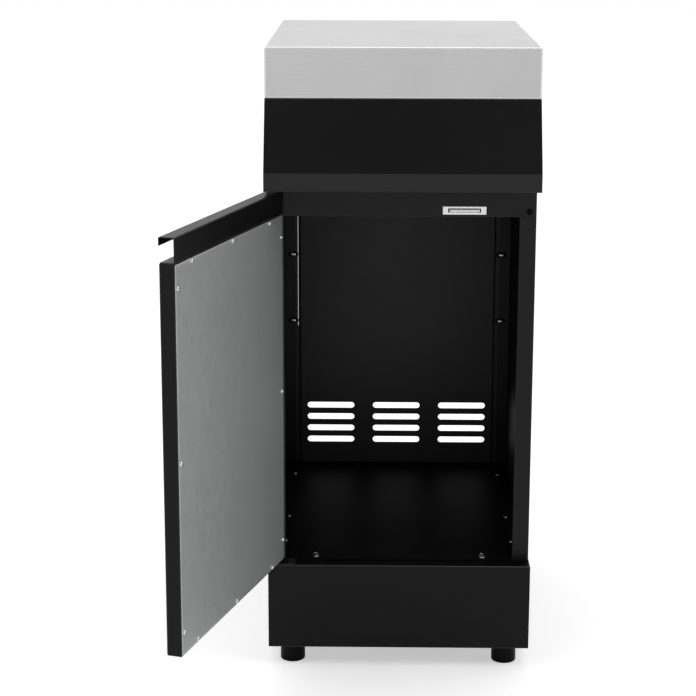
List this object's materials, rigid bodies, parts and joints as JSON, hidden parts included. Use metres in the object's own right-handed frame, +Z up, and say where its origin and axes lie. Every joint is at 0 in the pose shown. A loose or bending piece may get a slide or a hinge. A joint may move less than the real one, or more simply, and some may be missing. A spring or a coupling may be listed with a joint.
{
  "type": "outdoor kitchen cabinet",
  "caption": "Narrow free-standing outdoor kitchen cabinet with a steel worktop, a sloping fascia, an open-ended pull along its door, a vented back and levelling feet.",
  "frame": {"origin": "centre of the underside of the front left levelling foot, left as seen from in front of the cabinet", "axes": "+X towards the cabinet's right as seen from its front, +Y from its front towards its back, +Z up"},
  "size_m": [0.5158, 0.9024, 0.95],
  "materials": {
    "stainless_worktop": "fine brushed, satin",
    "black_powder_coat": "satin powder coat with a fine texture",
    "zinc_liner": "bare zinc-coated sheet, dull",
    "zinc_fixing": "bright zinc plating",
    "black_fixing": "blackened",
    "black_plastic": "moulded, fine grain",
    "acetal_bush": "natural acetal, waxy",
    "magnet": "nickel-plated, bright",
    "bumper_rubber": "moulded, dull"
  },
  "bodies": {
    "carcass": {"worktop": "stainless_worktop", "worktop_stiffener_front": "zinc_liner", "worktop_stiffener_rear": "zinc_liner", "worktop_screws": "zinc_fixing", "fascia": "black_powder_coat", "fascia_cheek_left": "black_powder_coat", "fascia_cheek_right": "black_powder_coat", "fascia_screws": "zinc_fixing", "front_header": "black_powder_coat", "rear_rail": "black_powder_coat", "side_panel_left": "black_powder_coat", "side_panel_right": "black_powder_coat", "back_panel": "black_powder_coat", "back_panel_rivets": "black_plastic", "floor_panel": "black_powder_coat", "floor_screws": "zinc_fixing", "floor_bolts": "zinc_fixing", "base_front": "black_powder_coat", "base_rear": "black_powder_coat", "base_left": "black_powder_coat", "base_right": "black_powder_coat", "foot_bracket_front_left": "black_powder_coat", "foot_bracket_front_right": "black_powder_coat", "foot_bracket_rear_left": "black_powder_coat", "foot_bracket_rear_right": "black_powder_coat", "catch_plate": "zinc_fixing", "catch_body": "black_plastic", "catch_magnet": "magnet", "door_bumper": "bumper_rubber", "upper_hinge_plate": "black_powder_coat", "upper_hinge_pin": "zinc_fixing", "upper_hinge_screws": "black_fixing", "lower_hinge_plate": "black_powder_coat", "lower_hinge_pin": "zinc_fixing", "lower_hinge_screws": "black_fixing"},
    "door": {"door_pan": "black_powder_coat", "door_liner": "zinc_liner", "door_stiffener": "zinc_liner", "door_handle": "black_powder_coat", "handle_end_block": "black_plastic", "door_upper_bush": "acetal_bush", "lower_hinge_block": "black_plastic", "door_lower_bush": "acetal_bush", "liner_screws": "zinc_fixing"},
    "foot_front_left": {"foot_pad_front_left": "black_plastic", "foot_stud_front_left": "zinc_fixing"},
    "foot_front_right": {"foot_pad_front_right": "black_plastic", "foot_stud_front_right": "zinc_fixing"},
    "foot_rear_left": {"foot_pad_rear_left": "black_plastic", "foot_stud_rear_left": "zinc_fixing"},
    "foot_rear_right": {"foot_pad_rear_right": "black_plastic", "foot_stud_rear_right": "zinc_fixing"}
  },
  "joints": [
    {"name": "door_hinge", "type": "hinge", "parent": "carcass", "child": "door", "pos_m": [-0.025, -0.02075, 0.168], "axis": [0, 0, -1], "range_deg": [-107.4, 12.6]},
    {"name": "foot_front_left_height", "type": "slide", "parent": "carcass", "child": "foot_front_left", "axis": [0, 0, -1], "range_m": [0, 0.02]},
    {"name": "foot_front_right_height", "type": "slide", "parent": "carcass", "child": "foot_front_right", "axis": [0, 0, -1], "range_m": [0, 0.02]},
    {"name": "foot_rear_left_height", "type": "slide", "parent": "carcass", "child": "foot_rear_left", "axis": [0, 0, -1], "range_m": [0, 0.02]},
    {"name": "foot_rear_right_height", "type": "slide", "parent": "carcass", "child": "foot_rear_right", "axis": [0, 0, -1], "range_m": [0, 0.02]}
  ]
}
